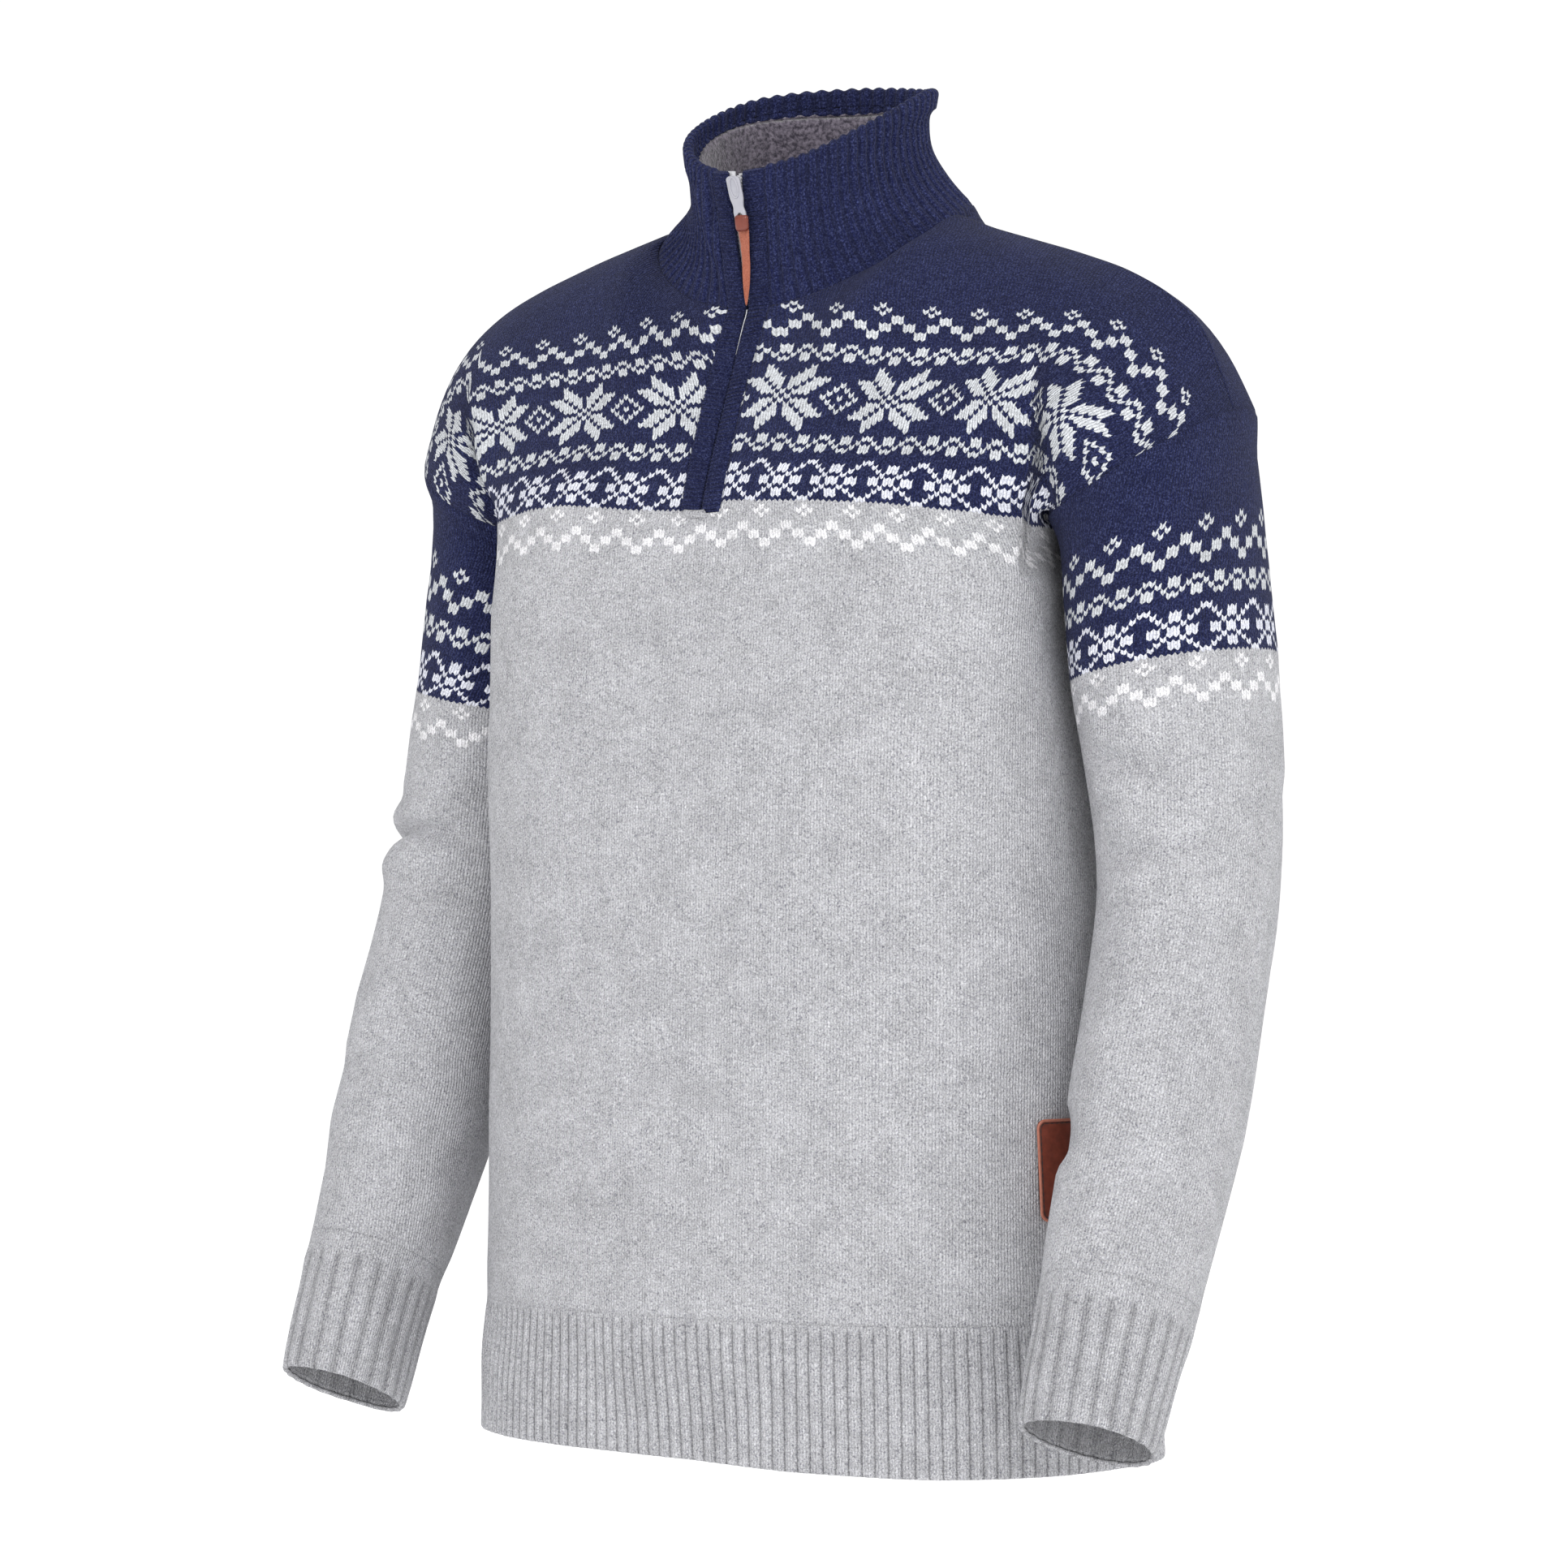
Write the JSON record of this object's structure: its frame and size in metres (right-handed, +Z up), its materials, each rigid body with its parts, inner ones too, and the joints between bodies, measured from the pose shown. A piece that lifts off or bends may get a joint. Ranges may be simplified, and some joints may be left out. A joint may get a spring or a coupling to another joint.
{
  "type": "nordic yoke sweater",
  "caption": "Knitted half-zip sweater with a navy nordic yoke, ribbed stand collar, cuffs and hem, held in the open shape of a worn garment.",
  "frame": {"origin": "middle of the neck base, between the shoulder seams, where the wearer's shoulders carry the garment", "axes": "+Z up, -Y towards the front of the garment, +X towards the wearer's left"},
  "size_m": [0.5792, 0.2717, 0.7659],
  "materials": {
    "grey_knit": "soft brushed wool knit",
    "navy_knit": "ribbed wool knit",
    "fleece": "matt fleece",
    "zip_tape": "woven tape and moulded teeth",
    "zip_metal": "bright silver",
    "leather": "burnished"
  },
  "bodies": {
    "garment": {"front_panel": "grey_knit", "back_panel": "grey_knit", "sleeve_left": "grey_knit", "sleeve_right": "grey_knit", "hem_rib_front": "navy_knit", "hem_rib_back": "navy_knit", "cuff_left": "navy_knit", "cuff_right": "navy_knit", "collar": "navy_knit", "placket_band_left": "navy_knit", "placket_band_right": "navy_knit", "zip_tape_left": "zip_tape", "zip_tape_right": "zip_tape", "zip_chain": "zip_tape", "collar_lining": "fleece", "zip_slider": "zip_metal", "side_label": "leather"},
    "zip_pull": {"zip_puller": "zip_metal", "pull_tab": "leather"}
  },
  "joints": [
    {"name": "pull", "type": "hinge", "parent": "garment", "child": "zip_pull", "pos_m": [0, -0.07759, 0.01853], "axis": [-1, 0, 0], "range_deg": [0, 150]}
  ]
}
